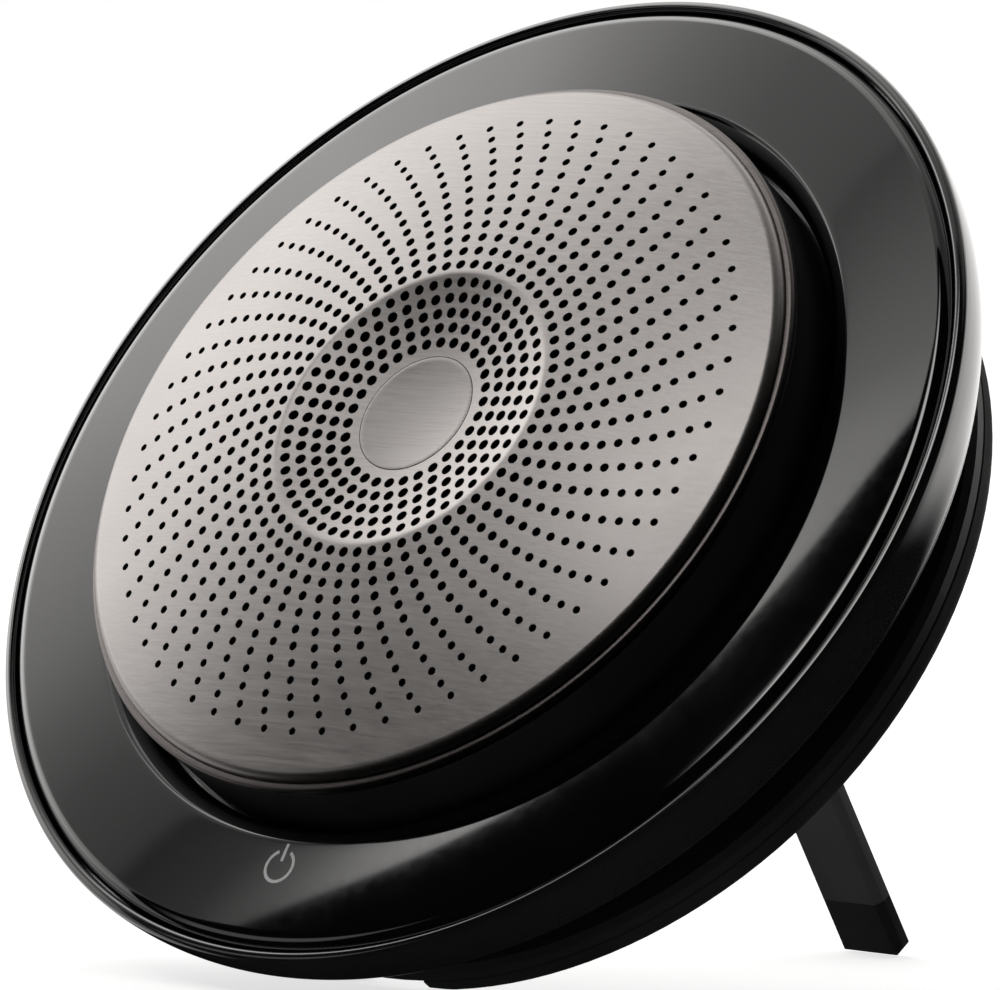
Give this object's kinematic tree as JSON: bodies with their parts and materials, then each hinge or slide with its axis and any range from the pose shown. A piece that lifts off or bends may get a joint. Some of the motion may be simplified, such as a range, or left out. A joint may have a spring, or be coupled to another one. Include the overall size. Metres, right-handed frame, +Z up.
{
  "type": "conference speakerphone",
  "caption": "Round conference speakerphone: domed perforated grille, glossy touch ring, cord-wrap groove and a fold-out rear leg that props the disc up towards the user.",
  "frame": {"origin": "on the table, at the centre of the bounding box's base", "axes": "+Z up, +X towards the disc's 3 o'clock side, -Y towards the user whom the grille faces"},
  "size_m": [0.13, 0.1152, 0.114],
  "materials": {
    "brushed_metal": "circular-brushed, champagne-silver",
    "cap_metal": "satin",
    "black_cloth": "fine woven",
    "dark_trim": "satin dark metal",
    "black_plastic": "fine texture",
    "gloss_black": "high gloss",
    "symbol_inlay": "light grey inlay",
    "light_guide": "clear acrylic",
    "circuit_board": "solder-masked",
    "housing_black": "semi-gloss",
    "foot_rubber": "matt",
    "plated_steel": "zinc plated",
    "screw_steel": "black oxide",
    "magnet": "sintered",
    "spider_cloth": "impregnated cloth",
    "cone_paper": "coated paper",
    "copper": "enamelled winding",
    "mic_can": "plain",
    "chip": "moulded",
    "battery_wrap": "shrink wrap",
    "leg_dark": "satin dark grey",
    "pin_steel": "ground"
  },
  "bodies": {
    "body": {"grille": "brushed_metal", "centre_cap": "cap_metal", "acoustic_cloth": "black_cloth", "grille_trim_ring": "dark_trim", "speaker_pedestal": "black_plastic", "touch_ring": "gloss_black", "power_symbol": "symbol_inlay", "led_light_guide": "light_guide", "touch_sensor_board": "circuit_board", "upper_housing": "housing_black", "middle_housing": "black_plastic", "cord_drum": "black_plastic", "base_cover": "black_plastic", "rubber_foot_ring": "foot_rubber", "cable_inlet_bush": "foot_rubber", "speaker_gasket": "foot_rubber", "speaker_screws": "screw_steel", "speaker_surround": "foot_rubber", "speaker_basket": "plated_steel", "speaker_top_plate": "plated_steel", "speaker_magnet": "magnet", "speaker_yoke": "plated_steel", "speaker_spider": "spider_cloth", "acoustic_chamber": "black_plastic", "microphone": "mic_can", "microphone_boot": "foot_rubber", "main_board": "circuit_board", "board_chips": "chip", "battery_pack": "battery_wrap", "base_screws": "screw_steel", "housing_screws": "screw_steel", "board_screws": "screw_steel", "kickstand_pin": "pin_steel", "stand_detent_spring": "pin_steel"},
    "stand": {"kickstand_leg": "leg_dark", "kickstand_tip": "foot_rubber"},
    "cone": {"speaker_cone": "cone_paper", "speaker_dust_cap": "cone_paper", "voice_coil": "copper"}
  },
  "joints": [
    {"name": "stand_hinge", "type": "hinge", "parent": "body", "child": "stand", "pos_m": [0, 0.00776, 0.06535], "axis": [1, 0, 0], "range_deg": [-68, 0]},
    {"name": "cone_travel", "type": "slide", "parent": "body", "child": "cone", "axis": [0, -0.8499, 0.527], "range_m": [-0.0012, 0.0012], "stiffness_N_per_m": 1200}
  ]
}
